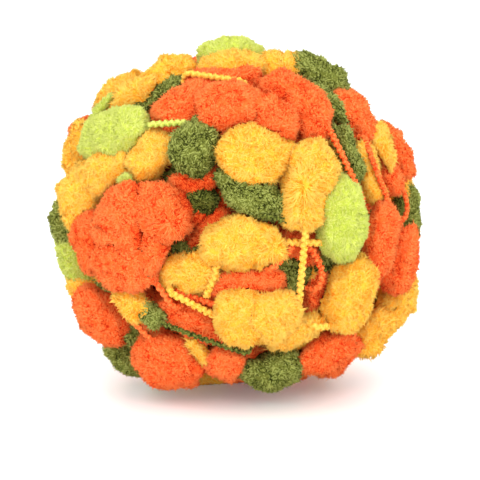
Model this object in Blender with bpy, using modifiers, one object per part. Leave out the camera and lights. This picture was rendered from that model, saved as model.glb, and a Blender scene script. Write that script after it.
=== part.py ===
"""A ball of pom pom yarn, resting on a level surface.

The yarn is a thin crimped cord with a plush pompom every few centimetres, dyed in turns
orange, golden yellow, olive and lime, and wound into a ball. The ball is one solid: its
wound core, a hidden layer of pompoms, every pompom of the outer layer as a lump of its real
size, and the taut lengths of cord that cross between them. It sags a little under its own
weight, and its underside is pressed flat where it rests.

Tables are in millimetres. A row gives where a pompom shows when the ball is seen from the
front: how far across and up from the ball's middle, how far its lift brings it out of the
shell of pompoms or sinks it, its length and width, and the lean of its length in degrees.
The scene is in metres, Z up, with the origin on the surface under the ball's middle.
"""

import math
import random

import bmesh
import bpy
import numpy as np
from mathutils import Matrix, Vector, noise

MM = 0.001

# The ball
MIDDLE_HEIGHT = 86.0
SHELL_RADIUS = 80.0
SAG = 8.0
SETTLED = 6.0
CORE_RADIUS = 64.0
SEEN_FROM_HEIGHT = math.radians(8.5)
SEEN_FROM_DISTANCE = 1150.0

# A pompom
PRESSED = 0.9
BLUNTNESS = 2.4
LUMPINESS = 0.08
LUMP_SPACING = 11.0

# The outer layer where no table reaches, wound in a spiral from the middle of the back
WOUND_PITCH = 37.0
WOUND_STEP = 3.0
WOUND_TURN_GAP = 12.0
WOUND_UNTIL = math.radians(92)
WOUND_UNTIL_BELOW = math.radians(95)
BELOW = -0.92
WOUND_CLEARANCE = 0.84
RIM = math.radians(66)
RIM_SUNK = 4.0
WOUND_LONG = 40.0
WOUND_WIDE = 28.0
WOUND_SEED = 7
BESIDE = 42.0
MOST_BESIDE = {"orange": 4, "yellow": 3, "olive": 2, "lime": 1}
WOUND_DYES = "oyogyoolyogoylogyoygoly"

# The layer under it
UNDER_LIFT = -17.0
UNDER_COUNT = 70
UNDER_LONG = 38.0
UNDER_WIDE = 27.0
UNDER_DYES = "oogoyog"

# The cord
CORD_RADIUS = 1.7
CORD_BURIED = 4.0

# The mesh
VOXEL = 2.0
BALL_TRIANGLES = 9300

DYES = {
    "orange": (0.90, 0.13, 0.02),
    "yellow": (0.95, 0.49, 0.03),
    "olive": (0.13, 0.18, 0.03),
    "lime": (0.55, 0.78, 0.06),
}
DYE_OF_LETTER = {"o": "orange", "y": "yellow", "g": "olive", "l": "lime"}

# dye, across, up, lift, long, wide, lean
CROWN = [
    ("yellow", -1, 75, 5, 36, 22, 3),
    ("yellow", 23, 74, 4, 27, 21, -6),
    ("orange", -5, 66, -1, 44, 20, 2),
    ("yellow", -46, 65, 3, 50, 21, 32),
    ("olive", -43, 57, -4, 38, 20, 30),
    ("orange", -28, 53, 3, 31, 23, 35),
    ("orange", -4, 54, 6, 36, 29, 12),
    ("orange", 28, 60, 4, 36, 24, -12),
    ("orange", 18, 48, 6, 26, 20, -30),
    ("orange", 38, 50, 6, 30, 25, -55),
    ("olive", 42, 69, 5, 34, 20, -42),
]
LEFT_SIDE = [
    ("lime", -63, 40, 8, 39, 25, 12),
    ("yellow", -79, 32, 5, 30, 22, 80),
    ("yellow", -71, 23, 4, 33, 24, 15),
    ("yellow", -79, 8, 5, 36, 27, 55),
    ("yellow", -43, 29, -1, 30, 25, 50),
    ("olive", -22, 32, 5, 31, 25, 80),
    ("lime", -57, 17, 8, 9, 8, 0),
    ("orange", -58, 3, 9, 30, 27, 30),
    ("orange", -38, 0, 6, 35, 27, -60),
    ("orange", -76, -15, 3, 34, 22, 85),
    ("orange", -58, -27, 8, 34, 26, 5),
]
HOLLOW = [
    ("yellow", 8, 29, 7, 38, 28, -10),
    ("yellow", 38, 25, 7, 30, 28, 70),
    ("yellow", 36, 5, 7, 27, 22, 75),
    ("olive", 6, 9, 1, 42, 22, -28),
    ("orange", -21, 17, -5, 26, 16, 20),
    ("olive", -18, 9, -9, 24, 20, 10),
    ("orange", -13, -9, -13, 34, 24, 60),
    ("yellow", 3, -16, 1, 43, 27, -4),
    ("yellow", -25, -31, -6, 32, 21, 22),
    ("olive", -33, -25, -11, 28, 20, 40),
    ("orange", 5, -36, -6, 40, 22, 6),
    ("orange", 31, -15, -13, 32, 24, -20),
    ("olive", 26, -33, -10, 18, 16, 0),
    ("yellow", 38, -30, -12, 14, 14, 0),
    ("olive", 45, -23, -9, 24, 18, -60),
    ("orange", 39, -43, -8, 28, 16, 85),
    ("yellow", 2, -53, 6, 28, 25, -60),
    ("yellow", 20, -51, 6, 31, 27, 30),
    ("yellow", 30, -63, 2, 32, 18, 22),
    ("orange", -20, -56, -4, 40, 20, -25),
]
RIGHT_SIDE = [
    ("lime", 53, -3, 6, 44, 27, -85),
    ("yellow", 57, -42, 6, 41, 28, 85),
    ("orange", 73, -16, 4, 46, 23, 88),
    ("orange", 82, -25, 4, 42, 22, 84),
    ("orange", 58, 49, 3, 35, 22, -50),
    ("olive", 51, 51, 0, 22, 14, -70),
    ("olive", 56, 31, 1, 29, 15, -65),
    ("yellow", 68, 13, 0, 20, 16, -30),
    ("yellow", 64, 27, -1, 20, 14, -75),
    ("orange", 78, 32, 4, 34, 20, -70),
    ("yellow", 73, 36, 6, 24, 12, -75),
    ("orange", 79, 16, 3, 26, 16, -80),
    ("yellow", 80, -47, 6, 36, 28, 30),
]
FOOT = [
    ("orange", -69, -53, 2, 40, 30, -55),
    ("yellow", -53, -46, 2, 22, 17, -35),
    ("olive", -43, -52, 2, 17, 15, -60),
    ("olive", -52, -62, -4, 20, 16, 0),
    ("olive", -54, -71, 2, 32, 22, -30),
    ("lime", -46, -76, -2, 24, 18, -45),
    ("orange", -34, -75, 4, 38, 30, -16),
    ("yellow", -21, -71, 3, 20, 9, -62),
    ("orange", -7, -76, 3, 23, 21, -60),
    ("olive", 19, -79, 4, 34, 24, -12),
    ("orange", 45, -70, 5, 35, 21, 20),
    ("orange", 50, -76, 2, 30, 18, 25),
    ("yellow", 67, -61, 3, 30, 22, 40),
]
BEHIND_THE_RIM = [
    ("lime", -3, 79, 1, 37, 25, 8),
    ("orange", 55, 56, -2, 28, 20, -50),
    ("orange", -34, 71, 0, 40, 21, 8),
    ("yellow", -59, 60, 6, 34, 22, 50),
    ("orange", -78, 38, 7, 28, 22, 30),
    ("olive", -83, -5, 4, 30, 24, -75),
    ("lime", -80, -19, 2, 42, 24, -66),
    ("yellow", -75, -39, 1, 30, 22, -70),
    ("olive", 83, -1, 3, 33, 24, -78),
    ("yellow", 80, 18, 1, 28, 20, -70),
]

# dye, then points of the cord: across, up and lift of each
CORDS = [
    ("yellow", (35, -7, 9), (31, -51, 9)),
    ("yellow", (25, -15, 2), (42, -15, 2)),
    ("yellow", (-33, -41, 6), (-8, -54, 6)),
    ("yellow", (-25, 71, 9), (2, 67, 6)),
    ("lime", (-44, 45, 9), (-27, 46, 8)),
    ("orange", (47, 43, 10), (54, 30, 11), (61, 13, 9)),
    ("orange", (67, 38, 3), (70, 24, 5), (76, 6, 6)),
    ("orange", (81, 12, 6), (82, -6, 5)),
    ("orange", (38, -18, 2), (45, -30, 2), (40, -39, 2)),
    ("orange", (27, -19, 4), (18, -28, 4)),
    ("olive", (-38, -56, 7), (-17, -64, 8), (4, -71, 7)),
    ("olive", (16, -1, 6), (29, -5, 6)),
    ("olive", (-33, -27, -1), (-19, -17, -1)),
    ("orange", (-41, -36, 5), (-33, -47, 5)),
    ("orange", (-55, -53, 6), (-44, -64, 6)),
    ("orange", (-29, -41, 2), (-10, -47, 2)),
    ("yellow", (-10, -26, 3), (-15, -41, 3)),
    ("orange", (-39, -17, 3), (-42, -29, 3)),
    ("yellow", (41, -58, 9), (53, -57, 9)),
    ("olive", (35, 71, 4), (49, 57, 4)),
    ("lime", (-70, 43, 7), (-64, 60, 6)),
]

MIDDLE = Vector((0.0, 0.0, MIDDLE_HEIGHT))
ACROSS = Vector((1.0, 0.0, 0.0))
UP = Vector((0.0, math.sin(SEEN_FROM_HEIGHT), math.cos(SEEN_FROM_HEIGHT)))
TO_VIEWER = Vector((0.0, -math.cos(SEEN_FROM_HEIGHT), math.sin(SEEN_FROM_HEIGHT)))


def shell(out, lift):
    """How far the raised shell is from the ball's middle in a direction: full low, flat on top."""
    sag = SAG * max(-2 * out.z * math.sqrt(1 - out.z**2), 0.0)
    return SHELL_RADIUS + lift + sag - SETTLED * max(out.z, 0.0) ** 4


def seat(across, up, lift, behind=False):
    """The point, from the ball's middle, that shows there on the shell raised by lift."""
    eye = TO_VIEWER * SEEN_FROM_DISTANCE
    line = ACROSS * across + UP * up - eye
    reach = eye.dot(line)
    place = (eye + line).normalized()
    for _ in range(6):
        radius = shell(place.normalized(), lift)
        room = reach**2 - line.length_squared * (eye.length_squared - radius**2)
        step = math.sqrt(max(room, 0.0))
        share = (-reach + (step if behind else -step)) / line.length_squared
        place = eye + line * share
    return place


class Pompom:
    """One pompom: its dye, its middle, its three directions and its three half sizes."""

    def __init__(self, dye, middle, along, long, wide):
        self.dye = dye
        self.middle = middle
        out = middle.normalized()
        along = (along - out * along.dot(out)).normalized()
        self.turn = Matrix((along, out.cross(along), out)).transposed()
        self.half = Vector((long, wide, wide * PRESSED)) / 2


def placed_pompoms(rows, behind=False):
    """The pompoms of one table."""
    placed = []
    for dye, across, up, lift, long, wide, lean in rows:
        middle = seat(across, up, lift, behind)
        lean = math.radians(lean)
        along = ACROSS * math.cos(lean) + UP * math.sin(lean)
        placed.append(Pompom(dye, middle, along, long, wide))
    return placed


def dye_beside(middle, others, number):
    """The next dye of the winding that isn't already crowded round this place."""
    beside = [other.dye for other in others if (middle - other.middle).length < BESIDE]
    turned = WOUND_DYES[number:] + WOUND_DYES[:number]
    dyes = [DYE_OF_LETTER[letter] for letter in turned]
    return next((dye for dye in dyes if beside.count(dye) < MOST_BESIDE[dye]), dyes[0])


def clear_of(pompom, other):
    """Whether the middle of one pompom is clear of the room that the other takes up."""
    apart = other.turn.transposed() @ (pompom.middle - other.middle)
    share = Vector(part / half for part, half in zip(apart, other.half))
    return share.length > 2 * WOUND_CLEARANCE


def wound_pompoms(placed):
    """The pompoms of the back, along a spiral, wherever the ones before leave room."""
    chance = random.Random(WOUND_SEED)
    wound = []
    polar = 0.3 * WOUND_PITCH / SHELL_RADIUS
    round_the_pole = 0.0
    while polar < WOUND_UNTIL_BELOW:
        side = ACROSS * math.cos(round_the_pole) + UP * math.sin(round_the_pole)
        out = side * math.sin(polar) - TO_VIEWER * math.cos(polar)
        forward = UP * math.cos(round_the_pole) - ACROSS * math.sin(round_the_pole)
        slant = chance.gauss(0, math.radians(25))
        along = forward * math.cos(slant) + out.cross(forward) * math.sin(slant)
        long = WOUND_LONG + chance.uniform(-5, 6)
        wide = WOUND_WIDE + chance.uniform(-3, 4)
        sunk = RIM_SUNK if polar > RIM else 0.0
        middle = out * shell(out, chance.uniform(-3, 4) - sunk)
        others = placed + wound
        dye = dye_beside(middle, others, len(wound) % len(WOUND_DYES))
        tried = Pompom(dye, middle, along, long, wide)
        free = all(clear_of(tried, other) and clear_of(other, tried) for other in others)
        travel = WOUND_STEP
        if free and (polar < WOUND_UNTIL or out.z < BELOW):
            wound.append(tried)
            travel = WOUND_PITCH
        turn = travel / (SHELL_RADIUS * math.sin(polar))
        round_the_pole += turn
        polar += WOUND_TURN_GAP / SHELL_RADIUS * turn / (2 * math.pi)
    return wound


def under_pompoms():
    """The layer that shows in the gaps, spread evenly, with one pompom under the middle."""
    foot = Pompom("orange", Vector((0, 0, -SHELL_RADIUS)), ACROSS, WOUND_LONG, WOUND_WIDE)
    layer = [foot]
    for number in range(UNDER_COUNT):
        height = 1 - 2 * (number + 0.5) / UNDER_COUNT
        turn = number * math.pi * (3 - math.sqrt(5))
        level = math.sqrt(1 - height**2)
        out = Vector((level * math.cos(turn), level * math.sin(turn), height))
        along = Vector((-math.sin(turn), math.cos(turn), height / 2))
        dye = DYE_OF_LETTER[UNDER_DYES[number % len(UNDER_DYES)]]
        middle = out * shell(out, UNDER_LIFT)
        layer.append(Pompom(dye, middle, along, UNDER_LONG, UNDER_WIDE))
    return layer


def shape_of(pompom, number, direction):
    """Where a pompom's surface lies in a direction of a unit sphere, from the ball's middle."""
    blunt = sum(abs(part) ** BLUNTNESS for part in direction) ** (-1 / BLUNTNESS)
    point = Vector(part * half * blunt for part, half in zip(direction, pompom.half))
    beside = Vector((number * 37.0, number * 11.0, 0.0))
    swell = 1 + LUMPINESS * noise.noise(point * (2 / LUMP_SPACING) + beside) * 2
    return pompom.middle + pompom.turn @ (point * swell)


def group(name):
    """The collection of that name, made and linked the first time."""
    if name not in bpy.data.collections:
        bpy.context.scene.collection.children.link(bpy.data.collections.new(name))
    return bpy.data.collections[name]


def mesh_object(name, bm, group_name="pom_pom_yarn_ball"):
    """A new object in a collection that holds a bmesh."""
    mesh = bpy.data.meshes.new(name)
    bm.to_mesh(mesh)
    bm.free()
    made = bpy.data.objects.new(name, mesh)
    group(group_name).objects.link(made)
    return made


def lumps(pompoms):
    """The core and every pompom, as closed shapes that run into each other."""
    bm = bmesh.new()
    bmesh.ops.create_icosphere(bm, subdivisions=5, radius=CORE_RADIUS)
    for number, pompom in enumerate(pompoms):
        ball = bmesh.ops.create_icosphere(bm, subdivisions=4, radius=1)
        for vert in ball["verts"]:
            vert.co = shape_of(pompom, number, vert.co)
    bmesh.ops.scale(bm, vec=Vector((MM, MM, MM)), verts=bm.verts)
    bmesh.ops.translate(bm, vec=MIDDLE * MM, verts=bm.verts)
    return mesh_object("wound_lumps", bm)


def applied(made):
    """A bmesh of the object with its modifiers applied. The object is removed."""
    graph = bpy.context.evaluated_depsgraph_get()
    mesh = bpy.data.meshes.new_from_object(made.evaluated_get(graph))
    bm = bmesh.new()
    bm.from_mesh(mesh)
    bpy.data.meshes.remove(mesh)
    bpy.data.objects.remove(made)
    return bm


def keep_outer_skin(bm):
    """Deletes the walls of hollows that the lumps enclose, so that the ball is solid."""
    bm.verts.ensure_lookup_table()
    top = max(bm.verts, key=lambda vert: vert.co.z)
    kept = {top}
    edge_of_growth = [top]
    while edge_of_growth:
        vert = edge_of_growth.pop()
        for edge in vert.link_edges:
            other = edge.other_vert(vert)
            if other not in kept:
                kept.add(other)
                edge_of_growth.append(other)
    inner = [vert for vert in bm.verts if vert not in kept]
    bmesh.ops.delete(bm, geom=inner, context="VERTS")


def one_skin(pompoms):
    """The wound ball as one closed skin over the core and all the pompoms."""
    rough = lumps(pompoms)
    remesh = rough.modifiers.new("one_skin", "REMESH")
    remesh.mode = "VOXEL"
    remesh.voxel_size = VOXEL * MM
    bm = applied(rough)
    keep_outer_skin(bm)
    bmesh.ops.triangulate(bm, faces=bm.faces)
    share = BALL_TRIANGLES / len(bm.faces)
    fine = mesh_object("fine_ball", bm)
    decimate = fine.modifiers.new("fewer_faces", "DECIMATE")
    decimate.ratio = share
    return mesh_object("yarn_ball", applied(fine))


def cord_object(number, points):
    """One taut length of cord through its seats, as a closed tube with its ends buried."""
    path = [seat(*point) for point in points]
    path[0] += (path[0] - path[1]).normalized() * CORD_BURIED
    path[-1] += (path[-1] - path[-2]).normalized() * CORD_BURIED
    curve = bpy.data.curves.new("cord", "CURVE")
    curve.dimensions = "3D"
    curve.bevel_depth = CORD_RADIUS * MM
    curve.bevel_resolution = 2
    curve.use_fill_caps = True
    spline = curve.splines.new("POLY")
    spline.points.add(len(path) - 1)
    for point, place in zip(spline.points, path):
        point.co = (*((place + MIDDLE) * MM), 1)
    made = bpy.data.objects.new("cord", curve)
    group("cutters").objects.link(made)
    bm = applied(made)
    bpy.data.curves.remove(curve)
    bmesh.ops.remove_doubles(bm, verts=bm.verts, dist=1e-6)
    return mesh_object(f"cord_{number + 1}", bm, "cutters")


def floor_slab():
    """The slab under the surface that the ball rests on, which flattens its underside."""
    bm = bmesh.new()
    bmesh.ops.create_cube(bm, size=1)
    bmesh.ops.scale(bm, vec=Vector((0.4, 0.4, 0.1)), verts=bm.verts)
    bmesh.ops.translate(bm, vec=Vector((0, 0, -0.05)), verts=bm.verts)
    return mesh_object("floor_slab", bm, "cutters")


def boolean(made, other, operation):
    """Joins or cuts an object with another one, which stays as a hidden helper."""
    modifier = made.modifiers.new(other.name, "BOOLEAN")
    modifier.operation = operation
    modifier.object = other
    other.hide_render = True
    other.display_type = "WIRE"


def dye_material(name, colour):
    """The plush finish of one dye."""
    material = bpy.data.materials.new(f"{name}_plush")
    material.use_nodes = True
    shader = material.node_tree.nodes["Principled BSDF"]
    shader.inputs["Base Color"].default_value = (*colour, 1)
    shader.inputs["Roughness"].default_value = 0.95
    shader.inputs["Metallic"].default_value = 0.0
    return material


def dye_faces(ball, pompoms):
    """Gives each face the dye of the pompom or the cord that it belongs to."""
    for name, colour in DYES.items():
        ball.data.materials.append(dye_material(name, colour))
    names = list(DYES)
    centres = np.array([face.center for face in ball.data.polygons]) / MM - np.array(MIDDLE)
    nearest = np.full(len(centres), np.inf)
    index = np.zeros(len(centres), int)
    for pompom in pompoms:
        inside = (centres - np.array(pompom.middle)) @ np.array(pompom.turn)
        reach = np.linalg.norm(inside / np.array(pompom.half), axis=1)
        index[reach < nearest] = names.index(pompom.dye)
        nearest = np.minimum(reach, nearest)
    for dye, *points in CORDS:
        path = [np.array(seat(*point)) for point in points]
        for start, end in zip(path, path[1:]):
            line = end - start
            share = np.clip((centres - start) @ line / (line @ line), 0, 1)
            away = np.linalg.norm(centres - start - share[:, None] * line, axis=1)
            index[away < CORD_RADIUS + 0.1] = names.index(dye)
    ball.data.polygons.foreach_set("material_index", index)


def build():
    for old in list(bpy.data.objects):
        bpy.data.objects.remove(old)
    under = under_pompoms()
    pompoms = list(under)
    for table in (CROWN, LEFT_SIDE, HOLLOW, RIGHT_SIDE, FOOT):
        pompoms += placed_pompoms(table)
    pompoms += placed_pompoms(BEHIND_THE_RIM, behind=True)
    pompoms += wound_pompoms([pompom for pompom in pompoms if pompom not in under])
    ball = one_skin(pompoms)
    for number, (_, *points) in enumerate(CORDS):
        boolean(ball, cord_object(number, points), "UNION")
    boolean(ball, floor_slab(), "DIFFERENCE")
    dressed = mesh_object("yarn_ball_solid", applied(ball))
    dressed.name = "yarn_ball"
    dye_faces(dressed, pompoms)
    dressed.data.shade_smooth()
    dressed.data.set_sharp_from_angle(angle=math.radians(50))


build()
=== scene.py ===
import math
import random
from collections import namedtuple

import bmesh
import bpy
import numpy as np
from mathutils import Matrix, Vector, noise
from mathutils.bvhtree import BVHTree


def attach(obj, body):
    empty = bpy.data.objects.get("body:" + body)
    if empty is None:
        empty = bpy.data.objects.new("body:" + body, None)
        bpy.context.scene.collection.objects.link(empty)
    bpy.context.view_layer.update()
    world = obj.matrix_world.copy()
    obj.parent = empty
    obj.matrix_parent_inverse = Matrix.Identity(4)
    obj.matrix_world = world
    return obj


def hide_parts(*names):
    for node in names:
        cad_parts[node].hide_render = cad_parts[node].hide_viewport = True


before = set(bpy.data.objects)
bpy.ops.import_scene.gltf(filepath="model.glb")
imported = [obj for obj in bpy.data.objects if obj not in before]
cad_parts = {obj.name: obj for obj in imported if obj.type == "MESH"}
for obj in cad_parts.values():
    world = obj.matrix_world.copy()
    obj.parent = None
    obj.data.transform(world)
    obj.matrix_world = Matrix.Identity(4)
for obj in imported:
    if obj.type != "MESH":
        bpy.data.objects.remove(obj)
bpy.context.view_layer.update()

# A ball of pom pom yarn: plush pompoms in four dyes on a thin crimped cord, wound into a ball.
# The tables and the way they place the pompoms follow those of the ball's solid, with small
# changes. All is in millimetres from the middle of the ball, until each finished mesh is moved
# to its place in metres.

MM = 0.001

# The ball, and where it is seen from
MIDDLE_HEIGHT = 86.0
SHELL_RADIUS = 80.0
SAG = 8.0
SETTLED = 6.0
SEEN_FROM_HEIGHT = math.radians(8.5)
SEEN_FROM_DISTANCE = 1150.0

# A pompom
PRESSED = 0.9
BLUNTNESS = 2.12
LUMPINESS = 0.08
LUMP_SPACING = 11.0

# The outer layer where no table reaches, wound in a spiral from the middle of the back
WOUND_START = 0.3
WOUND_PITCH = 37.0
WOUND_STEP = 3.0
WOUND_TURN_GAP = 12.0
WOUND_SLANT = math.radians(25)
WOUND_UNTIL = math.radians(92)
WOUND_UNTIL_BELOW = math.radians(95)
BELOW = -0.92
WOUND_CLEARANCE = 0.84
RIM = math.radians(66)
RIM_SUNK = 4.0
WOUND_LONG = 40.0
WOUND_WIDE = 28.0
WOUND_LONG_VARIES = (-5, 6)
WOUND_WIDE_VARIES = (-3, 4)
WOUND_LIFT_VARIES = (-3, 4)
WOUND_SWELL = 1.12
WOUND_SEED = 7
BESIDE = 42.0
MOST_BESIDE = {"orange": 4, "yellow": 3, "olive": 2, "lime": 1}
WOUND_DYES = "oyogyoolyogoylogyoygoly"

# The layer under it
UNDER_LIFT = -17.0
UNDER_COUNT = 70
UNDER_LONG = 38.0
UNDER_WIDE = 27.0
UNDER_DYES = "oogoyog"

# The packed inside, its pile and how pale that is: darker, as painted shade at the bottom of the
# gaps
CORE_RADIUS = 67.0
CORE_RAISED = 0.5
CORE_RIPPLE = 1.5
CORE_RIPPLES = 9
CORE_TUFT_SPACING = 1.4
CORE_SHORTEST = 1.5
CORE_LONGEST = 2.6
CORE_ROOT = 0.3
CORE_STRAY = 0.5
CORE_PALE = -0.1
CORE_MOTLEY = 0.25

# The pile, and how far it and the packed roots under it stay above the floor
PILE = 1.4
ROOT = 0.2
TUFT_CLEAR = 0.1
ROOTS_CLEAR = 0.4
TUFT_SPACING = 0.86
UNDER_TUFT_SPACING = 1.3
TUFT_WIDTH = 0.6
TUFT_SEED = 11

# How a tuft takes the light, from its sides and by its lean
SIDE_FACING = 1.3
LEAN_FACING = 0.5

# How the tufts vary in length and width, and how they lean
SHORTER = -0.45
LONGER = 0.35
THINNER = 0.8
WIDER = 1.2
CLUMP_SPACING = 1.8
FANNED = 0.9
FLOW_SPACING = 2.4
STRAY = 0.35

# Pits between nubs of clumped pile, which come and go in patches
PIT_WIDTH = 0.3
PATCH_SPACING = 5.0
PATCH_SWING = 1.3

# Pompoms at one level flow into each other, less so those of two dyes, and a seam shows there
FILL = 1.1
OTHER_DYE_FILL = 0.45
MOST_FILL = 1.3
SAME_LEVEL = 7.0
SEAM_WIDTH = 1.5
SEAM_DEPTH = 0.6
SEAM_KEPT = 0.8

# Soft lobes and billows of the pile, and the narrow creases between them
LOBE = 3.0
LOBE_SPACING = 12.0
BILLOW = 1.3
BILLOW_SPACING = 5.0
CREASE = 1.5
CREASE_SPACING = 9.0
CREASE_WIDTH = 0.09
CREASE_SHORTER = 0.4

# Whorls, where the pile fans out from an eye
WHORLED = 2.5
WHORL_SWIRL = 3.0
SWIRL_SPACING = 6.0
EYE_WIDTH = 3.5
EYE_DEPTH = 1.3

# How sharply one dye turns to another, and how far that edge waves
MELT = 0.07
MELT_WAVE = 0.14

# How pale the pile is, with 0 near its darkest colour. Painted shade makes it darker at its roots,
# in sunk pompoms, pits, creases, seams and whorls' eyes, and painted light makes its tips paler;
# the dye and the tufts also vary at random
PALE = 0.36
ROOTS_PALE = 0.15
TIP_PALE = 0.35
UNEVEN_DYE = 0.08
WHORL_MOTLEY = 0.3
SUNK_SHADE = 0.8
PIT_SHADE = 0.3
CREASE_SHADE = 0.45
SEAM_SHADE = 0.55
EYE_SHADE = 0.5

# How much of a pompom hides its neighbour's pile, and the packed roots under that
PILE_HIDDEN = 0.88
ROOTS_HIDDEN = 0.8

# The looks from outside that find out whether a tuft shows
LOOK_TILT = math.radians(52)
LOOKS_ROUND = 6
LOOK_FROM = 0.6
LOOK_REACH = 90

# The finest grain of the pile and of the packed inside, and the fine pits darkened as painted
# shade, in scales per metre. The last row is where each dye stands on the colour ramp
PACKED_GRAIN_SCALE = 500
GRAIN_SCALE = 1300
BEND_SCALE = 350
BEND = 0.0022
PIT_SCALE = 430
PIT_LINE = 0.11
PIT_PATCH_SCALE = 170
PIT_PATCH = (0.42, 0.58)
GRAIN = 0.5
DYES_AT = (0.05, 0.42, 0.68)

# The cord
STRAND_RADIUS = 1.15
STRAND_THIN = 0.86
STRAND_SWELL = 0.2
CRIMP = 0.7
CRIMP_PITCH = 3.1
CRIMP_STEPS = 8
CRIMP_SHARP = 0.12
CORD_STEPS = 300
CORD_BURIED = 4.0
CORD_TUCK = 6.0

# The short pile of the cord, how pale its strand is, and how much paler the outer bends of its
# crimps are, a painted highlight, with painted shade between them
CORD_PILE = 0.5
CORD_SHORTEST = 1.2
CORD_LONGEST = 1.8
CORD_TUFT_SPACING = 0.8
CORD_TUFT_WIDTH = 0.8
CORD_STRAY = 0.15
CORD_STRAND_PALE = 0.1
CORD_BEND_PALE = 0.3
CORD_MOTLEY = 0.1

# How thick and how pale the cord of each dye looks
CORD_LOOKS = {
    "orange": (0.95, 0.0),
    "yellow": (1.0, 0.1),
    "olive": (0.8, -0.2),
    "lime": (0.95, 0.05),
}

DYE_OF_LETTER = {"o": "orange", "y": "yellow", "g": "olive", "l": "lime"}

# Each pompom's dye, then its middle across, up and lifted off the shell, its length, its width
# and how far it leans in degrees. A dye that turns to another melts into the next row's
CROWN = [
    ("yellow", -3, 74, 3, 36, 20, 3),
    ("yellow", 23, 74, 4, 27, 20, -6),
    ("orange", -5, 66, -1, 44, 20, 2),
    ("yellow", -35, 70, 4, 31, 20, 18),
    ("yellow", -52, 59, 5, 30, 18, 48),
    ("olive", -43, 56, -2, 38, 20, 30),
    ("orange", -27, 53, 3, 34, 25, 30),
    ("orange", -4, 53, 6, 36, 30, 12),
    ("orange", 28, 60, 4, 36, 24, -12),
    ("orange", 18, 47, 7, 28, 22, -30),
    ("orange", 36, 50, 6, 30, 22, -58),
    ("olive", 42, 69, 5, 34, 20, -42),
]
LEFT_SIDE = [
    ("lime", -68, 38, 6, 28, 25, 5),
    ("lime", -56, 42, 8, 27, 24, 5),
    ("lime", -62, 40, 7, 28, 26, 5),
    ("lime", -69, 53, 10, 22, 7, 52),
    ("yellow", -79, 32, 5, 30, 22, 80),
    ("yellow", -67, 20, 3, 36, 23, 12),
    ("yellow", -79, 8, 5, 36, 27, 55),
    ("yellow to olive", -43, 29, -1, 30, 25, 50),
    ("olive", -22, 32, 5, 31, 25, 80),
    ("lime", -57, 17, 8, 9, 8, 0),
    ("orange", -56, 1, 8, 29, 27, 40),
    ("orange", -38, 0, 6, 35, 27, -60),
    ("orange", -74, -15, 4, 34, 23, 85),
    ("orange", -58, -27, 8, 34, 26, 5),
    ("orange", -59, -13, 8, 28, 24, 10),
    ("orange", -44, -19, 5, 20, 18, 60),
    ("orange", -68, -6, 6, 22, 18, 60),
]
HOLLOW = [
    ("yellow", 8, 29, 7, 38, 28, -10),
    ("yellow", 37, 22, 7, 31, 29, 60),
    ("yellow", 34, 5, 7, 30, 24, 82),
    ("olive", 8, 9, 1, 40, 22, -28),
    ("orange", -21, 17, -5, 26, 16, 20),
    ("olive", -19, 7, -9, 22, 18, 10),
    ("orange", -13, -11, -14, 32, 23, 60),
    ("yellow", -1, -15, 1, 35, 26, 6),
    ("yellow", 12, -17, 2, 27, 21, -14),
    ("yellow", -25, -31, -4, 34, 23, 22),
    ("olive", -33, -25, -11, 28, 20, 40),
    ("orange", 5, -36, -6, 40, 22, 6),
    ("orange", 31, -15, -13, 32, 24, -20),
    ("olive to yellow", 26, -33, -10, 18, 16, 0),
    ("yellow", 38, -30, -12, 14, 14, 0),
    ("olive", 45, -23, -9, 24, 18, -60),
    ("orange", 39, -43, -8, 28, 16, 85),
    ("yellow", 1, -53, 5, 30, 27, -52),
    ("yellow", 18, -52, 6, 30, 26, 24),
    ("yellow", 29, -61, 2, 32, 18, 22),
    ("orange", -20, -56, -4, 40, 20, -25),
]
RIGHT_SIDE = [
    ("lime", 53, -3, 6, 44, 27, -85),
    ("yellow", 57, -42, 6, 41, 28, 85),
    ("orange", 72, -16, 4, 46, 20, 88),
    ("orange", 83, -24, 4, 38, 20, 84),
    ("orange", 60, 49, 3, 36, 20, -52),
    ("olive", 45, 57, 3, 36, 12, -56),
    ("olive", 56, 31, 2, 33, 13, -70),
    ("yellow", 68, 13, 0, 20, 16, -30),
    ("yellow", 64, 27, 1, 20, 14, -75),
    ("orange to yellow", 79, 31, 4, 33, 22, -75),
    ("yellow", 74, 34, 6, 26, 14, -85),
    ("orange", 78, 18, 3, 20, 16, -80),
    ("yellow", 80, -45, 4, 34, 26, 40),
]
FOOT = [
    ("orange", -68, -53, 2, 38, 28, -55),
    ("yellow to olive", -53, -46, 2, 22, 17, -35),
    ("olive", -43, -52, 2, 14, 13, -60),
    ("olive", -52, -62, -4, 20, 16, 0),
    ("olive", -54, -74, 1, 32, 20, -30),
    ("lime", -46, -76, -2, 24, 18, -45),
    ("orange", -34, -75, 4, 38, 30, -16),
    ("yellow", -19, -70, 4, 20, 8, -68),
    ("orange", -7, -76, 3, 23, 21, -60),
    ("olive", 19, -79, 4, 34, 24, -12),
    ("orange", 45, -70, 5, 35, 21, 20),
    ("orange", 51, -73, 2, 30, 18, 30),
    ("yellow", 67, -61, 3, 30, 22, 40),
]
BEHIND_THE_RIM = [
    ("lime", -3, 79, -4, 36, 25, 8),
    ("orange", 55, 56, -2, 28, 20, -50),
    ("orange", -33, 67, 0, 42, 21, 14),
    ("yellow", -59, 60, 6, 34, 22, 50),
    ("orange", -78, 38, 7, 28, 22, 30),
    ("olive", -84, -4, 5, 32, 24, -75),
    ("lime", -81, -21, 3, 42, 25, -66),
    ("yellow", -75, -39, 1, 30, 22, -70),
    ("olive", 84, 0, 5, 36, 24, -78),
    ("yellow", 80, 18, 3, 28, 20, -70),
]

# Sunk between the foot and the pompoms of the underside
SUNK_AT_THE_FOOT = [
    ("orange", 0, -73, -7, 36, 26, 0),
    ("yellow", 32, -66, -7, 36, 26, 25),
    ("orange", -30, -67, -7, 36, 26, -25),
]

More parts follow.
